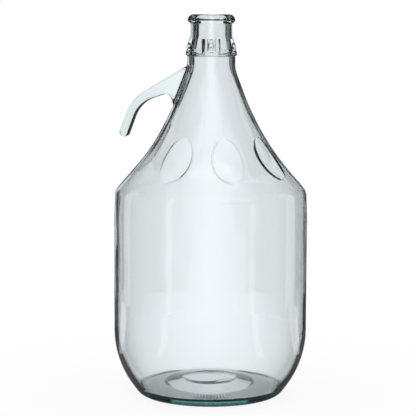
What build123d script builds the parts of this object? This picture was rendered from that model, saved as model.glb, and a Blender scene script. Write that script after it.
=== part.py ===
from build123d import *
from math import cos, radians, sin, sqrt, tan
import os

# Glass demijohn of about five litres, blown in one piece with its carrying hook
# Millimetres. The axis is Z, the foot stands on Z = 0 and the hook reaches towards -X

# Body
height = 360.0
body_radius = 91.2
side_top = 168.0
shoulder_radius = 90.3  # the side leans in to this radius where the shoulder turns
shoulder_z = 194.9
shoulder_round = 13.0
lean_round = 200.0

# Hollow curve of the shoulder, between two cones that meet at the waist
waist_radius = 46.4
waist_z = 244.9
waist_round = 247.0

# Neck
neck_radius = 22.5
neck_foot = 309.0
neck_foot_round = 27.0

# Heel, foot and underside
heel_z = 33.7
heel_round = 88.0
foot_radius = 66.4
foot_round = 12.0
foot_inner_radius = 57.0
foot_inner_round = 3.0
step_radius = 42.0
step_z = 3.0
step_height = 2.0
push_up_radius = 26.0
push_up = 9.5

# Glass thickness
side_wall = 3.2
shoulder_wall = 3.3
neck_wall = 3.8
heel_wall = 4.2
floor_wall = 5.0
foot_wall = 7.0
floor_round = 8.0

# Collar under the wire closure
collar_radius = 24.0
collar_bottom = 321.5
collar_top = 325.5
collar_slope = 2.0
collar_edge = 1.0

# Mouth
mouth_outer_radius = 19.4
mouth_bottom = 340.0
mouth_round = 20.0
bore_radius = 15.0
bore_length = 20.0
lip_radius = 22.35
lip_underside = 351.3
lip_edge_z = 353.9
lip_top_radius = 21.5
lip_round = 5.5
lip_inner_round = 2.0

# Thumb hollows round the shoulder and the longer finger hollow behind the hook
hollow_z = 227.4
hollow_length = 48.0
hollow_width = 29.0
hollow_depth = 2.6
finger_z = 237.0
finger_length = 58.0
finger_width = 30.0
finger_depth = 2.8
hollow_pitch = 45.0
hollow_rim = 1.5
hollow_inner_rim = 5.0

# Hook
hook_thickness = 12.0
hook_edge = 2.4
hook_root_round = 3.5
hook_top_z = 311.9  # where its upper edge leaves the neck
hook_top_slope = 30.5
hook_knee_radius = 74.9
hook_knee_round = 38.0
hook_tip_slope = 68.6
hook_tip_z = 246.7
hook_tip_width = 9.3
hook_inner_knee = (67.3, 277.1)
hook_inner_round = 29.0
hook_crotch = (39.0, 286.9)
hook_crotch_round = 6.0

# Pads on the neck that hold the ends of the wire closure, one each quarter turn
pad_count = 4
pad_turn = 6.8  # the neck ring's turn against the body mould
pad_width = 18.0
pad_top = 337.3
pad_top_radius = 20.4
pad_face_radius = 22.9
pad_face_top = 330.3
pad_edge = 0.8
pocket_width = 13.0
pocket_radius = 21.5
pocket_top = 336.0
pocket_edge = 1.0
pivot_radius = 3.0
pivot_depth = 2.4
pivot_z = 330.6


def inset(before, corner, after, wall_before, wall_after):
    """Corner of the inner wall, set in from an outer corner by the glass on either side."""
    first = (Vector(*corner) - Vector(*before)).normalized()
    second = (Vector(*after) - Vector(*corner)).normalized()
    turn = first.cross(second).Z
    x = corner[0] + (wall_before * second.X - wall_after * first.X) / turn
    z = corner[1] + (wall_before * second.Y - wall_after * first.Y) / turn
    return (x, z)


def cone_at(z):
    """Radius of the plain neck cone between the neck and the mouth at one height."""
    share = (z - collar_bottom) / (mouth_bottom - collar_bottom)
    return neck_radius + (mouth_outer_radius - neck_radius) * share


# Outer wall from the foot to the neck, as corners that are rounded later
foot_inner = (foot_inner_radius, 0.0)
foot = (foot_radius, 0.0)
heel = (body_radius, heel_z)
side = (body_radius, side_top)
shoulder = (shoulder_radius, shoulder_z)
waist = (waist_radius, waist_z)
neck = (neck_radius, neck_foot)
collar_foot = (neck_radius, collar_bottom)

outer_corners = [
    ((0.0, push_up), 0),
    ((push_up_radius, push_up), 8.0),
    ((step_radius - step_height, step_z + step_height), 1.0),
    ((step_radius, step_z), 1.0),
    (foot_inner, foot_inner_round),
    (foot, foot_round),
    (heel, heel_round),
    (side, lean_round),
    (shoulder, shoulder_round),
    (waist, waist_round),
    (neck, neck_foot_round),
    (collar_foot, 0.3),
    ((collar_radius, collar_bottom), collar_edge),
    ((collar_radius, collar_top), collar_edge),
    ((cone_at(collar_top + collar_slope), collar_top + collar_slope), 1.0),
    ((mouth_outer_radius, mouth_bottom), mouth_round),
    ((mouth_outer_radius, lip_underside), 0.5),
    ((lip_radius, lip_edge_z), 0.8),
    ((lip_top_radius, height), lip_round),
    ((0.0, height), 0),
]

with BuildSketch(Plane.XZ) as outer_section:
    with BuildLine():
        FilletPolyline(
            [point for point, _ in outer_corners],
            radius=[size for _, size in outer_corners],
            close=True,
        )
    make_face()

# Inner wall, the outer corners set in by the glass thickness
inner_foot = inset(foot_inner, foot, heel, foot_wall, heel_wall)
inner_heel = inset(foot, heel, side, heel_wall, side_wall)
inner_side = inset(heel, side, shoulder, side_wall, side_wall)
inner_shoulder = inset(side, shoulder, waist, side_wall, shoulder_wall)
inner_waist = inset(shoulder, waist, neck, shoulder_wall, shoulder_wall)
inner_neck = inset(waist, neck, collar_foot, shoulder_wall, neck_wall)
bore_bottom = height - bore_length

inner_corners = [
    ((0.0, push_up + floor_wall), 0),
    ((push_up_radius, push_up + floor_wall), 30.0),
    (inner_foot, floor_round),
    (inner_heel, heel_round - heel_wall),
    (inner_side, lean_round - side_wall),
    (inner_shoulder, shoulder_round - side_wall),
    (inner_waist, waist_round + shoulder_wall),
    (inner_neck, neck_foot_round + neck_wall),
    ((neck_radius - neck_wall, collar_bottom), 15.0),
    ((bore_radius, bore_bottom), 15.0),
    ((bore_radius, height + 1), 0),
    ((0.0, height + 1), 0),
]

with BuildSketch(Plane.XZ) as inner_section:
    with BuildLine():
        FilletPolyline(
            [point for point, _ in inner_corners],
            radius=[size for _, size in inner_corners],
            close=True,
        )
    make_face()

# Arc of the shoulder, which carries the hollows
shoulder_arc = outer_section.edges().filter_by(GeomType.CIRCLE).sort_by(lambda e: e.radius)[-1]
arc_centre = shoulder_arc.arc_center


def hollow_cutter(z, length, width, depth, wall):
    """Barrel that presses an oval hollow into the shoulder at one height, grown by a wall."""
    slope = (arc_centre.Y - z) / waist_round
    reach = sqrt(1 - slope**2)
    radius = arc_centre.X - waist_round * reach
    across = 1 / (8 * depth / width**2 - reach / radius)
    along = 1 / (8 * depth / length**2 + 1 / waist_round)
    surface = Plane((radius, 0, z), x_dir=(-slope, 0, reach), z_dir=(0, 1, 0))
    side_angle = 40.0
    with BuildPart() as cutter:
        with BuildSketch(surface):
            with BuildLine():
                belly = CenterArc(
                    (0, along - depth), along + wall, 270 - side_angle, 2 * side_angle
                )
                left = Line(belly @ 0, ((belly @ 0).X, across - depth))
                right = Line(belly @ 1, ((belly @ 1).X, across - depth))
                Line(left @ 1, right @ 1)
            make_face()
        spin = Axis(surface.from_local_coords((0, across - depth)), surface.x_dir)
        revolve(axis=spin)
    return cutter.part


thumb = (hollow_z, hollow_length, hollow_width, hollow_depth)
finger = (finger_z, finger_length, finger_width, finger_depth)
hollow_turns = [
    hollow_pitch * (k + 0.5)
    for k in range(round(360 / hollow_pitch))
    if abs(hollow_pitch * (k + 0.5) - 180) > hollow_pitch
]

# Hook, one flat outline with rounded edges
def down_slope(angle):
    """Direction that runs outwards and down at an angle below the level."""
    return Vector(cos(radians(angle)), -sin(radians(angle)))


hook_start = Vector(neck_radius, hook_top_z)
hook_knee = hook_start + down_slope(hook_top_slope) * (
    (hook_knee_radius - neck_radius) / cos(radians(hook_top_slope))
)
tip_outer = hook_knee + down_slope(hook_tip_slope) * (
    (hook_knee.Y - hook_tip_z) / sin(radians(hook_tip_slope))
)
tip_inner = tip_outer + down_slope(hook_tip_slope + 90) * hook_tip_width
hook_corners = [
    (hook_start - down_slope(hook_top_slope) * neck_radius / 2, 0),
    (hook_knee, hook_knee_round),
    (tip_outer, hook_tip_width * 0.48),
    (tip_inner, hook_tip_width * 0.48),
    (Vector(*hook_inner_knee), hook_inner_round),
    (Vector(*hook_crotch), hook_crotch_round),
    (Vector(hook_crotch[0] - 5, hook_crotch[1] - 17), 0),
    (Vector(neck_radius / 2, hook_crotch[1] - 17), 0),
]

with BuildPart() as hook:
    with BuildSketch(Plane.XZ):
        with BuildLine():
            FilletPolyline(
                [(-point.X, point.Y) for point, _ in hook_corners],
                radius=[size for _, size in hook_corners],
                close=True,
            )
        make_face()
    extrude(amount=hook_thickness / 2, both=True)
    outline_edges = hook.edges().filter_by(Axis.Y, reverse=True)
    fillet(outline_edges.filter_by(lambda e: e.center().X < -neck_radius), hook_edge)

# Pad for the wire closure, leaning with the neck and flat in front
with BuildPart() as pad:
    with BuildSketch(Plane.XZ):
        Polygon(
            (bore_radius, pad_top),
            (pad_top_radius, pad_top),
            (pad_face_radius, pad_face_top),
            (pad_face_radius, collar_top - collar_slope),
            (bore_radius, collar_top - collar_slope),
            align=None,
        )
    extrude(amount=pad_width / 2, both=True)
    corners = pad.faces().sort_by(Axis.X)[-2:].edges().filter_by(Axis.Y, reverse=True)
    fillet(corners.filter_by(lambda e: e.center().Z > collar_top), pad_edge)

# Pocket in the pad with the round seat of the wire's end
with BuildPart() as pocket:
    with BuildSketch(Plane.YZ.offset(pocket_radius)):
        with Locations((0, (pocket_top + pivot_z - pivot_radius - pocket_edge) / 2)):
            RectangleRounded(
                pocket_width,
                pocket_top - pivot_z + pivot_radius + pocket_edge,
                pocket_edge,
            )
    extrude(amount=lip_radius)
    with BuildSketch(Plane.YZ.offset(pocket_radius)):
        with Locations((0, pivot_z)):
            Circle(pivot_radius)
    extrude(amount=-pivot_depth)
    seat = pocket.edges().filter_by(GeomType.CIRCLE).sort_by(Axis.X)[0]
    fillet(seat, pivot_radius * 0.4)

# Air space, set in from the outside and pushed in behind each hollow
with BuildPart() as space:
    with BuildSketch(Plane.XZ):
        add(inner_section.sketch_local)
    revolve(axis=Axis.Z)
    for turn in hollow_turns:
        add(hollow_cutter(*thumb, shoulder_wall), rotation=(0, 0, turn), mode=Mode.SUBTRACT)
    add(hollow_cutter(*finger, shoulder_wall), rotation=(0, 0, 180), mode=Mode.SUBTRACT)
    rims = space.edges().filter_by(GeomType.BSPLINE)
    fillet(rims, hollow_inner_rim)

# The whole bottle
with BuildPart() as demijohn:
    with BuildSketch(Plane.XZ):
        add(outer_section.sketch_local)
    revolve(axis=Axis.Z)
    for turn in hollow_turns:
        add(hollow_cutter(*thumb, 0), rotation=(0, 0, turn), mode=Mode.SUBTRACT)
    add(hollow_cutter(*finger, 0), rotation=(0, 0, 180), mode=Mode.SUBTRACT)
    rims = demijohn.edges().filter_by(GeomType.BSPLINE)
    fillet(rims, hollow_rim)
    add(hook.part)
    root = demijohn.edges(Select.NEW)
    fillet(root, hook_root_round)
    for turn in range(pad_count):
        add(pad.part, rotation=(0, 0, pad_turn + 360 / pad_count * turn))
    for turn in range(pad_count):
        spin = (0, 0, pad_turn + 360 / pad_count * turn)
        add(pocket.part, rotation=spin, mode=Mode.SUBTRACT)
    add(space.part, mode=Mode.SUBTRACT)
    mouth = demijohn.edges().filter_by(GeomType.CIRCLE).group_by(Axis.Z)[-1].sort_by(SortBy.RADIUS)
    fillet(mouth[0], lip_inner_round)

os.makedirs("parts", exist_ok=True)
demijohn.part.label = "demijohn"
export_step(demijohn.part, "parts/demijohn.step")
print("glass litres", demijohn.part.volume / 1e6, demijohn.part.is_valid, len(demijohn.solids()))
print("space litres", space.part.volume / 1e6, space.part.is_valid)
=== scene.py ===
from math import atan2, cos, degrees, hypot, pi, radians, sin, sqrt, tan

import bmesh
import bpy
from mathutils import Matrix, Vector


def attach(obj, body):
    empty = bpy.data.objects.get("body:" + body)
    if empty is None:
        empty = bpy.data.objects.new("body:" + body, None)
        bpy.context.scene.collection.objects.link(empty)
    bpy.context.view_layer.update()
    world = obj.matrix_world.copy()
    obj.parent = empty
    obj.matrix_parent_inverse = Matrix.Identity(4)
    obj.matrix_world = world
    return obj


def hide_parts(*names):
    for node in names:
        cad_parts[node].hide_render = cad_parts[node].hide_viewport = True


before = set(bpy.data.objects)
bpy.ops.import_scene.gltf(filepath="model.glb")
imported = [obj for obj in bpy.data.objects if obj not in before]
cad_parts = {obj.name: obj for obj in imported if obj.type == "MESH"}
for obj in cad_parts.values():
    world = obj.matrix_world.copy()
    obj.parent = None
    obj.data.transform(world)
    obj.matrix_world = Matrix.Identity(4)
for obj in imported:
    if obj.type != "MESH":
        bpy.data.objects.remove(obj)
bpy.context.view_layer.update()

# Photo and camera
PHOTO_SIZE = 416  # pixels, both ways
SENSOR = 36.0  # millimetres across the picture
FOCAL_PIXELS = 1700.0
CAMERA_DISTANCE = 1.600  # metres from the bottle's axis, measured level
CAMERA_HEIGHT = 0.3558
CAMERA_TURN = radians(7.8)  # to the right of the hook plane's front
CAMERA_PITCH = radians(-6.35)
CAMERA_ROLL = radians(0.25)
AXIS_PIXEL = 210.68  # where the bottle's axis crosses the middle row

# Glass, in metres
GLASS_IOR = 1.52
GLASS_ABSORBING = 32.0  # per metre of glass
GLASS_TINT = (0.46, 0.72, 0.70)
WAVE_HEIGHT = 0.00042  # ripples of the blown inner wall
WAVE_PITCH = 0.030
WAVE_STRETCH = 2.2  # how much longer they are upright than across
WAVE_DETAIL = 1.0
TOOTH_COUNT = 105  # round the bearing ring
TOOTH_HEIGHT = 0.0005
TOOTH_TOP = 0.0045
GLASS_BOUNCES = 24
MIRROR_BOUNCES = 12

# Shoulder of the glass, in metres: radius and height of the corners of its hollow curve
SHOULDER = (0.0903, 0.1949)
WAIST = (0.0464, 0.2449)
NECK = (0.0225, 0.3090)
WAIST_ROUND = 0.2470
SHOULDER_WALL = 0.0033
PLAIN_TURNS = (22.5, 67.5, 112.5)  # degrees, where the photo shows no hollow
PLAIN_HALF_WIDTH = 21.0  # degrees
PLAIN_LOW = 0.200
PLAIN_HIGH = 0.262
HOLLOW_REACH = 0.0050  # more than the deepest hollow
WALL_SLACK = 0.0002
INNER_SLACK = 0.0003
AXIS_REACH = 0.010  # nearer the axis than this nothing is split
FACET_TURN = radians(3.9)  # widest facet round the axis
ROUND_SLACK = 0.05  # how far a round wall's normal may point off the radius

# Surroundings, with angles in degrees from the backdrop's middle, to the right
STUDIO_TURN = CAMERA_TURN
BACKDROP_LEVEL = 0.94
BACKDROP_GLOW = 0.22  # more at the backdrop's middle
BACKDROP_HALF_WIDTH = 3.2
COOL_WHITE = (1.0, 1.0, 1.03)
DARK_SECTORS = ((-72, -14), (19, 36), (50, 72))
DARK_LOW = -9
DARK_HIGH = 80
DARKNESS = 0.97
INSIDE_OPENING = (20, 25)  # where light that is reflected within the glass fades out
INSIDE_LEVEL = 0.95
SOFTBOX_SIDES = ((-70, -54), (-134, -125), (125, 134), (60, 80))
SOFTBOX_LOW = -30
SOFTBOX_HIGH = 35
SOFTBOX_LIGHT = 1.0
ROOM_LIGHT = 0.10
MASK_EDGE = 1.5
SOFT_WHITE = (0.95, 0.95, 0.95, 1)  # what matt surfaces gather
PALE_WHITE = (1.0, 1.0, 1.0, 1)

# Floor, in metres
FLOOR_RADIUS = 0.60
FLOOR_STEPS = 96
FLOOR_MATT = (0.92, 0.92, 0.92, 1)
EYE_OVER_FLOOR = 0.10
BACKDROP_SPREAD = 2.2  # sideways for each radian of backdrop
SHADOW_SHARE = 0.10  # of the floor that takes light and shadow, the rest is white
SHADOW_FADE = (0.10, 0.42)
PAINTED_SHADOW_UNDER_FOOT = (0.050, 0.085)  # painted shadow under the foot, from its darkest reach to where the floor's glow is full again
# glow left in the painted shadow under the foot
PAINTED_SHADOW_LEVEL = 0.72


class Nodes:
    """Short ways to add and join the nodes of one tree."""

    def __init__(self, tree):
        self.tree = tree

    def add(self, kind, **settings):
        node = self.tree.nodes.new(kind)
        for name, value in settings.items():
            setattr(node, name, value)
        return node

    def put(self, socket, value):
        if isinstance(value, bpy.types.NodeSocket):
            self.tree.links.new(value, socket)
        else:
            socket.default_value = value

    def math(self, operation, *values):
        node = self.add("ShaderNodeMath", operation=operation)
        for socket, value in zip(node.inputs, values):
            self.put(socket, value)
        return node.outputs[0]

    def vector(self, operation, *values):
        node = self.add("ShaderNodeVectorMath", operation=operation)
        for socket, value in zip(node.inputs, values):
            self.put(socket, value)
        return node.outputs["Value" if operation == "DOT_PRODUCT" else "Vector"]

    def scaled(self, colour, amount):
        node = self.add("ShaderNodeVectorMath", operation="SCALE")
        self.put(node.inputs[0], colour)
        self.put(node.inputs["Scale"], amount)
        return node.outputs["Vector"]

    def ramp(self, value, start, end, low, high):
        """Smooth step of a value from one level to another."""
        node = self.add("ShaderNodeMapRange", interpolation_type="SMOOTHSTEP")
        names = ("Value", "From Min", "From Max", "To Min", "To Max")
        for name, given in zip(names, (value, start, end, low, high)):
            self.put(node.inputs[name], given)
        return node.outputs["Result"]

    def mix(self, share, first, second):
        node = self.add("ShaderNodeMix", data_type="RGBA")
        self.put(node.inputs["Factor"], share)
        self.put(node.inputs[6], first)
        self.put(node.inputs[7], second)
        return node.outputs[2]


# Camera
def make_camera():
    data = bpy.data.cameras.new("camera")
    data.sensor_width = SENSOR
    data.lens = FOCAL_PIXELS / PHOTO_SIZE * SENSOR
    data.shift_x = (PHOTO_SIZE / 2 - AXIS_PIXEL) / PHOTO_SIZE
    data.clip_end = 100.0
    camera = bpy.data.objects.new("camera", data)
    bpy.context.scene.collection.objects.link(camera)
    camera.location = (
        CAMERA_DISTANCE * sin(CAMERA_TURN),
        -CAMERA_DISTANCE * cos(CAMERA_TURN),
        CAMERA_HEIGHT,
    )
    turn = Matrix.Rotation(CAMERA_TURN, 4, "Z")
    pitch = Matrix.Rotation(radians(90) + CAMERA_PITCH, 4, "X")
    roll = Matrix.Rotation(CAMERA_ROLL, 4, "Z")
    camera.rotation_euler = (turn @ pitch @ roll).to_euler()
    bpy.context.scene.camera = camera


# Light that the glass gathers
def studio_group():
    """What stands round the bottle, by azimuth and elevation, in radians.

    Backdrop is seen straight through the glass, Inside after a reflection within the glass,
    and Outside in the bottle's own surface."""
    group = bpy.data.node_groups.new("studio_surroundings", "ShaderNodeTree")
    face = group.interface
    face.new_socket("Azimuth", in_out="INPUT", socket_type="NodeSocketFloat")
    face.new_socket("Aside", in_out="INPUT", socket_type="NodeSocketFloat")
    face.new_socket("Elevation", in_out="INPUT", socket_type="NodeSocketFloat")
    for name in ("Backdrop", "Inside", "Outside"):
        face.new_socket(name, in_out="OUTPUT", socket_type="NodeSocketColor")
    n = Nodes(group)
    given = n.add("NodeGroupInput")
    result = n.add("NodeGroupOutput")
    elevation = given.outputs["Elevation"]
    turned = n.math("ADD", given.outputs["Azimuth"], STUDIO_TURN)
    turned = n.math("WRAP", turned, pi, -pi)
    around = n.math("ABSOLUTE", turned)

    aside = n.math("ABSOLUTE", given.outputs["Aside"])
    middle = n.ramp(aside, 0.0, radians(BACKDROP_HALF_WIDTH), 1.0, 0.0)
    level = n.math("MULTIPLY_ADD", middle, BACKDROP_GLOW, BACKDROP_LEVEL)
    for left, right in DARK_SECTORS:
        dark = box_mask(n, turned, elevation, (left, right, DARK_LOW, DARK_HIGH))
        level = n.math("MULTIPLY", level, n.math("MULTIPLY_ADD", dark, -DARKNESS, 1.0))
    n.put(result.inputs["Backdrop"], n.scaled(COOL_WHITE, level))

    start, end = (radians(angle) for angle in INSIDE_OPENING)
    inside = n.math("MULTIPLY", n.ramp(around, start, end, 1.0, 0.0), INSIDE_LEVEL)
    n.put(result.inputs["Inside"], n.scaled(COOL_WHITE, inside))

    outside = ROOM_LIGHT
    for left, right in SOFTBOX_SIDES:
        box = box_mask(n, turned, elevation, (left, right, SOFTBOX_LOW, SOFTBOX_HIGH))
        outside = n.math("MULTIPLY_ADD", box, SOFTBOX_LIGHT, outside)
    n.put(result.inputs["Outside"], n.scaled((1.0, 1.0, 1.0), outside))
    return group


def box_mask(n, azimuth, elevation, window):
    """1 inside a soft-edged window (left, right, low, high) of directions, 0 outside it."""
    left, right, low, high = (radians(angle) for angle in window)
    edge = radians(MASK_EDGE)
    parts = [
        n.ramp(azimuth, left, left + edge, 0.0, 1.0),
        n.ramp(azimuth, right - edge, right, 1.0, 0.0),
        n.ramp(elevation, low, low + edge, 0.0, 1.0),
        n.ramp(elevation, high - edge, high, 1.0, 0.0),
    ]
    mask = parts[0]
    for part in parts[1:]:
        mask = n.math("MULTIPLY", mask, part)
    return mask


def seen_light(n, group, azimuth, aside, elevation):
    """Colour of the surroundings for the kind of ray that asks, and the camera's own share."""
    path = n.add("ShaderNodeLightPath")
    studio = n.add("ShaderNodeGroup", node_tree=group)
    n.put(studio.inputs["Azimuth"], azimuth)
    n.put(studio.inputs["Aside"], aside)
    n.put(studio.inputs["Elevation"], elevation)
    reflected = n.math("GREATER_THAN", path.outputs["Glossy Depth"], 0.5)
    entered = n.math("GREATER_THAN", path.outputs["Transmission Depth"], 0.5)
    mirrored = n.mix(entered, studio.outputs["Outside"], studio.outputs["Inside"])
    through = n.mix(reflected, studio.outputs["Backdrop"], mirrored)
    shown = n.mix(path.outputs["Is Camera Ray"], through, PALE_WHITE)
    return shown, path


def make_world(group):
    """Studio all round, which the camera itself sees as plain white."""
    world = bpy.data.worlds.new("studio")
    bpy.context.scene.world = world
    world.use_nodes = True
    tree = world.node_tree
    tree.nodes.clear()
    n = Nodes(tree)
    way = n.add("ShaderNodeSeparateXYZ")
    n.put(way.inputs[0], n.add("ShaderNodeTexCoord").outputs["Generated"])
    azimuth = n.math("ARCTAN2", way.outputs["X"], way.outputs["Y"])
    elevation = n.math("ARCSINE", way.outputs["Z"])
    aside = n.math("WRAP", n.math("ADD", azimuth, STUDIO_TURN), pi, -pi)
    shown, path = seen_light(n, group, azimuth, aside, elevation)
    light = n.mix(path.outputs["Is Diffuse Ray"], shown, SOFT_WHITE)
    background = n.add("ShaderNodeBackground")
    n.put(background.inputs["Color"], light)
    output = n.add("ShaderNodeOutputWorld")
    n.put(output.inputs["Surface"], background.outputs[0])


# Floor
def make_floor(group):
    """Round white floor that glows like the backdrop and takes a faint shadow, with a painted
    shadow under the foot where its glow is dimmed.
    """
    mesh = bpy.data.meshes.new("floor")
    turns = [radians(360 * k / FLOOR_STEPS) for k in range(FLOOR_STEPS)]
    rim = [(FLOOR_RADIUS * cos(turn), FLOOR_RADIUS * sin(turn), 0) for turn in turns]
    mesh.from_pydata(rim, [], [list(range(FLOOR_STEPS))])
    floor = bpy.data.objects.new("floor", mesh)
    bpy.context.scene.collection.objects.link(floor)
    material = bpy.data.materials.new("pale_floor")
    material.use_nodes = True
    tree = material.node_tree
    tree.nodes.clear()
    n = Nodes(tree)
    position = n.add("ShaderNodeNewGeometry").outputs["Position"]
    place = n.add("ShaderNodeSeparateXYZ")
    n.put(place.inputs[0], position)
    x, y = place.outputs["X"], place.outputs["Y"]
    azimuth = n.math("ARCTAN2", x, y)
    reach = n.math("SQRT", n.math("ADD", n.math("MULTIPLY", x, x), n.math("MULTIPLY", y, y)))
    elevation = n.math("MULTIPLY", n.math("ARCTAN2", EYE_OVER_FLOOR, reach), -1.0)
    offset = n.vector("DOT_PRODUCT", position, (cos(STUDIO_TURN), sin(STUDIO_TURN), 0))
    aside = n.math("DIVIDE", offset, BACKDROP_SPREAD)
    shown, path = seen_light(n, group, azimuth, aside, elevation)
    # Painted shadow: the floor's glow is dimmed under the foot for rays that pass through the
    # glass, while the camera sees it at full strength.
    under = n.ramp(reach, *PAINTED_SHADOW_UNDER_FOOT, PAINTED_SHADOW_LEVEL, 1.0)
    under = n.math("MAXIMUM", under, path.outputs["Is Camera Ray"])
    glow = n.add("ShaderNodeEmission")
    n.put(glow.inputs["Color"], shown)
    n.put(glow.inputs["Strength"], under)
    matte = n.add("ShaderNodeBsdfDiffuse")
    matte.inputs["Color"].default_value = FLOOR_MATT
    share = n.ramp(reach, *SHADOW_FADE, SHADOW_SHARE, 0.0)
    share = n.math("MAXIMUM", share, path.outputs["Is Diffuse Ray"])
    blend = n.add("ShaderNodeMixShader")
    n.put(blend.inputs[0], share)
    n.put(blend.inputs[1], glow.outputs[0])
    n.put(blend.inputs[2], matte.outputs[0])
    output = n.add("ShaderNodeOutputMaterial")
    n.put(output.inputs["Surface"], blend.outputs[0])
    mesh.materials.append(material)


# Glass
def make_glass():
    """Clear glass, faintly green, with a rippled inner wall and teeth under the foot."""
    material = bpy.data.materials.new("clear_glass")
    material.use_nodes = True
    tree = material.node_tree
    tree.nodes.clear()
    n = Nodes(tree)
    glass = n.add("ShaderNodeBsdfPrincipled")
    glass.inputs["Base Color"].default_value = (1, 1, 1, 1)
    glass.inputs["Roughness"].default_value = 0.0
    glass.inputs["IOR"].default_value = GLASS_IOR
    glass.inputs["Transmission Weight"].default_value = 1.0

    geometry = n.add("ShaderNodeNewGeometry")
    place = geometry.outputs["Position"]
    radius = n.vector("MULTIPLY", place, (1, 1, 0))
    outward = n.vector("DOT_PRODUCT", geometry.outputs["True Normal"], radius)
    turned = n.math("MULTIPLY_ADD", geometry.outputs["Backfacing"], -2.0, 1.0)
    inner_wall = n.math("LESS_THAN", n.math("MULTIPLY", outward, turned), 0.0)
    noise = n.add("ShaderNodeTexNoise")
    n.put(noise.inputs["Vector"], n.vector("MULTIPLY", place, (1, 1, 1 / WAVE_STRETCH)))
    noise.inputs["Scale"].default_value = 1 / WAVE_PITCH
    noise.inputs["Detail"].default_value = WAVE_DETAIL
    wave = n.math("MULTIPLY", noise.outputs[0], inner_wall)
    spot = n.add("ShaderNodeSeparateXYZ")
    n.put(spot.inputs[0], place)
    turn = n.math("ARCTAN2", spot.outputs["Y"], spot.outputs["X"])
    teeth = n.math("SINE", n.math("MULTIPLY", turn, TOOTH_COUNT))
    depth = n.ramp(spot.outputs["Z"], 0.0, TOOTH_TOP, TOOTH_HEIGHT / WAVE_HEIGHT, 0.0)
    wave = n.math("ADD", wave, n.math("MULTIPLY", teeth, depth))
    bump = n.add("ShaderNodeBump")
    bump.inputs["Strength"].default_value = 1.0
    bump.inputs["Distance"].default_value = WAVE_HEIGHT
    n.put(bump.inputs["Height"], wave)
    n.put(glass.inputs["Normal"], bump.outputs[0])

    inside = n.add("ShaderNodeVolumeAbsorption")
    inside.inputs["Color"].default_value = (*GLASS_TINT, 1)
    inside.inputs["Density"].default_value = GLASS_ABSORBING
    output = n.add("ShaderNodeOutputMaterial")
    n.put(output.inputs["Surface"], glass.outputs[0])
    n.put(output.inputs["Volume"], inside.outputs[0])
    return material


# Bottle
def shoulder_curve():
    """Centre of the shoulder's hollow arc, the point where it starts, and the cone below it."""
    low, middle, high = Vector(SHOULDER), Vector(WAIST), Vector(NECK)
    down = (low - middle).normalized()
    up = (high - middle).normalized()
    half = down.angle(up) / 2
    foot = middle + down * WAIST_ROUND / tan(half)
    centre = middle + (down + up).normalized() * WAIST_ROUND / sin(half)
    return centre, foot, down


def plain_wall(height, wall):
    """Radius of the shoulder without hollows at one height, and its normal outwards and up."""
    centre, foot, down = shoulder_curve()
    size = WAIST_ROUND + wall
    start = centre + (foot - centre).normalized() * size
    if height < start.y:
        normal = (centre - foot).normalized()
        radius = start.x + down.x * (height - start.y) / down.y
    else:
        radius = centre.x - sqrt(size**2 - (centre.y - height) ** 2)
        normal = (centre - Vector((radius, height))).normalized()
    return radius, normal


def radial_frame(place):
    """Directions away from the axis and round it at one place."""
    outward = Vector((place.x, place.y, 0)).normalized()
    return outward, Vector((-outward.y, outward.x, 0))


def fill_rear_hollows(work, reach, lean, aside):
    """Set the rear half of the shoulder on its plain curve."""
    for point in work.verts:
        turn = degrees(atan2(point.co.y, point.co.x))
        near = min(abs(turn - middle) for middle in PLAIN_TURNS)
        if near >= PLAIN_HALF_WIDTH or not PLAIN_LOW < point.co.z < PLAIN_HIGH:
            continue
        radius, normal = plain_wall(point.co.z, SHOULDER_WALL)
        normal = -normal
        if point[reach] > radius + INNER_SLACK:
            radius, normal = plain_wall(point.co.z, 0.0)
        sunk = radius - point[reach]
        if -WALL_SLACK < sunk < HOLLOW_REACH:
            point[reach] = radius
            aside[point.index] = 0.0
            for corner in point.link_loops:
                corner[lean] = (normal.x, 0.0, normal.y)


def split_wide_facets(work, round_wall):
    """Halve the edges of the round walls that span too much of the turn."""
    wide_edges = []
    for edge in work.edges:
        first, second = edge.verts
        if first in round_wall and second in round_wall:
            turn = Vector(first.co.xy).angle(Vector(second.co.xy), 0.0)
            if turn > FACET_TURN:
                wide_edges.append(edge)
    bmesh.ops.subdivide_edges(work, edges=wide_edges, cuts=1)
    bmesh.ops.triangulate(work, faces=[face for face in work.faces if len(face.verts) > 3])


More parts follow.
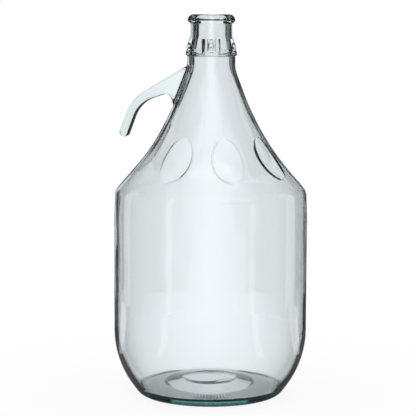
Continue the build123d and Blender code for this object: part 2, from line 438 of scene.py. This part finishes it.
def make_smooth_bottle(cad):
    """The glass with finer facets round the axis and a plain rear half of the shoulder.

    Radii and normals are kept by their share along and across the radius, so that new points
    between two others lie on the round wall and not on the chord."""
    mesh = cad.data.copy()
    mesh.name = "demijohn_glass"
    normals = iter([corner.vector.copy() for corner in mesh.corner_normals])
    work = bmesh.new()
    work.from_mesh(mesh)
    reach = work.verts.layers.float.new("reach")
    lean = work.loops.layers.float_vector.new("lean")
    for point in work.verts:
        point[reach] = hypot(point.co.x, point.co.y)
    aside = {}
    for face in work.faces:
        for corner in face.loops:
            outward, around = radial_frame(corner.vert.co)
            normal = next(normals)
            corner[lean] = (normal.dot(outward), normal.dot(around), normal.z)
            key = corner.vert.index
            aside[key] = max(aside.get(key, 0.0), abs(normal.dot(around)))
    fill_rear_hollows(work, reach, lean, aside)
    round_wall = {
        point
        for point in work.verts
        if aside[point.index] < ROUND_SLACK and point[reach] > AXIS_REACH
    }
    split_wide_facets(work, round_wall)

    for point in work.verts:
        outward, _ = radial_frame(point.co)
        point.co.xy = (outward * point[reach]).xy
    smooth = []
    for face in work.faces:
        face.smooth = True
        for corner in face.loops:
            outward, around = radial_frame(corner.vert.co)
            along, across, upward = corner[lean]
            normal = outward * along + around * across + Vector((0, 0, upward))
            smooth.append(normal.normalized())
    work.loops.layers.float_vector.remove(work.loops.layers.float_vector["lean"])
    work.verts.layers.float.remove(work.verts.layers.float["reach"])
    work.to_mesh(mesh)
    work.free()
    mesh.normals_split_custom_set(smooth)
    bottle = bpy.data.objects.new("demijohn_glass", mesh)
    bottle.matrix_world = cad.matrix_world.copy()
    bpy.context.scene.collection.objects.link(bottle)
    return bottle


make_camera()
studio = studio_group()
make_world(studio)
make_floor(studio)

bottle = make_smooth_bottle(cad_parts["demijohn"])
bottle.data.materials.clear()
bottle.data.materials.append(make_glass())
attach(bottle, "root")
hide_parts("demijohn")

scene = bpy.context.scene
scene.view_settings.view_transform = "Standard"
scene.cycles.max_bounces = GLASS_BOUNCES
scene.cycles.transmission_bounces = GLASS_BOUNCES
scene.cycles.glossy_bounces = MIRROR_BOUNCES
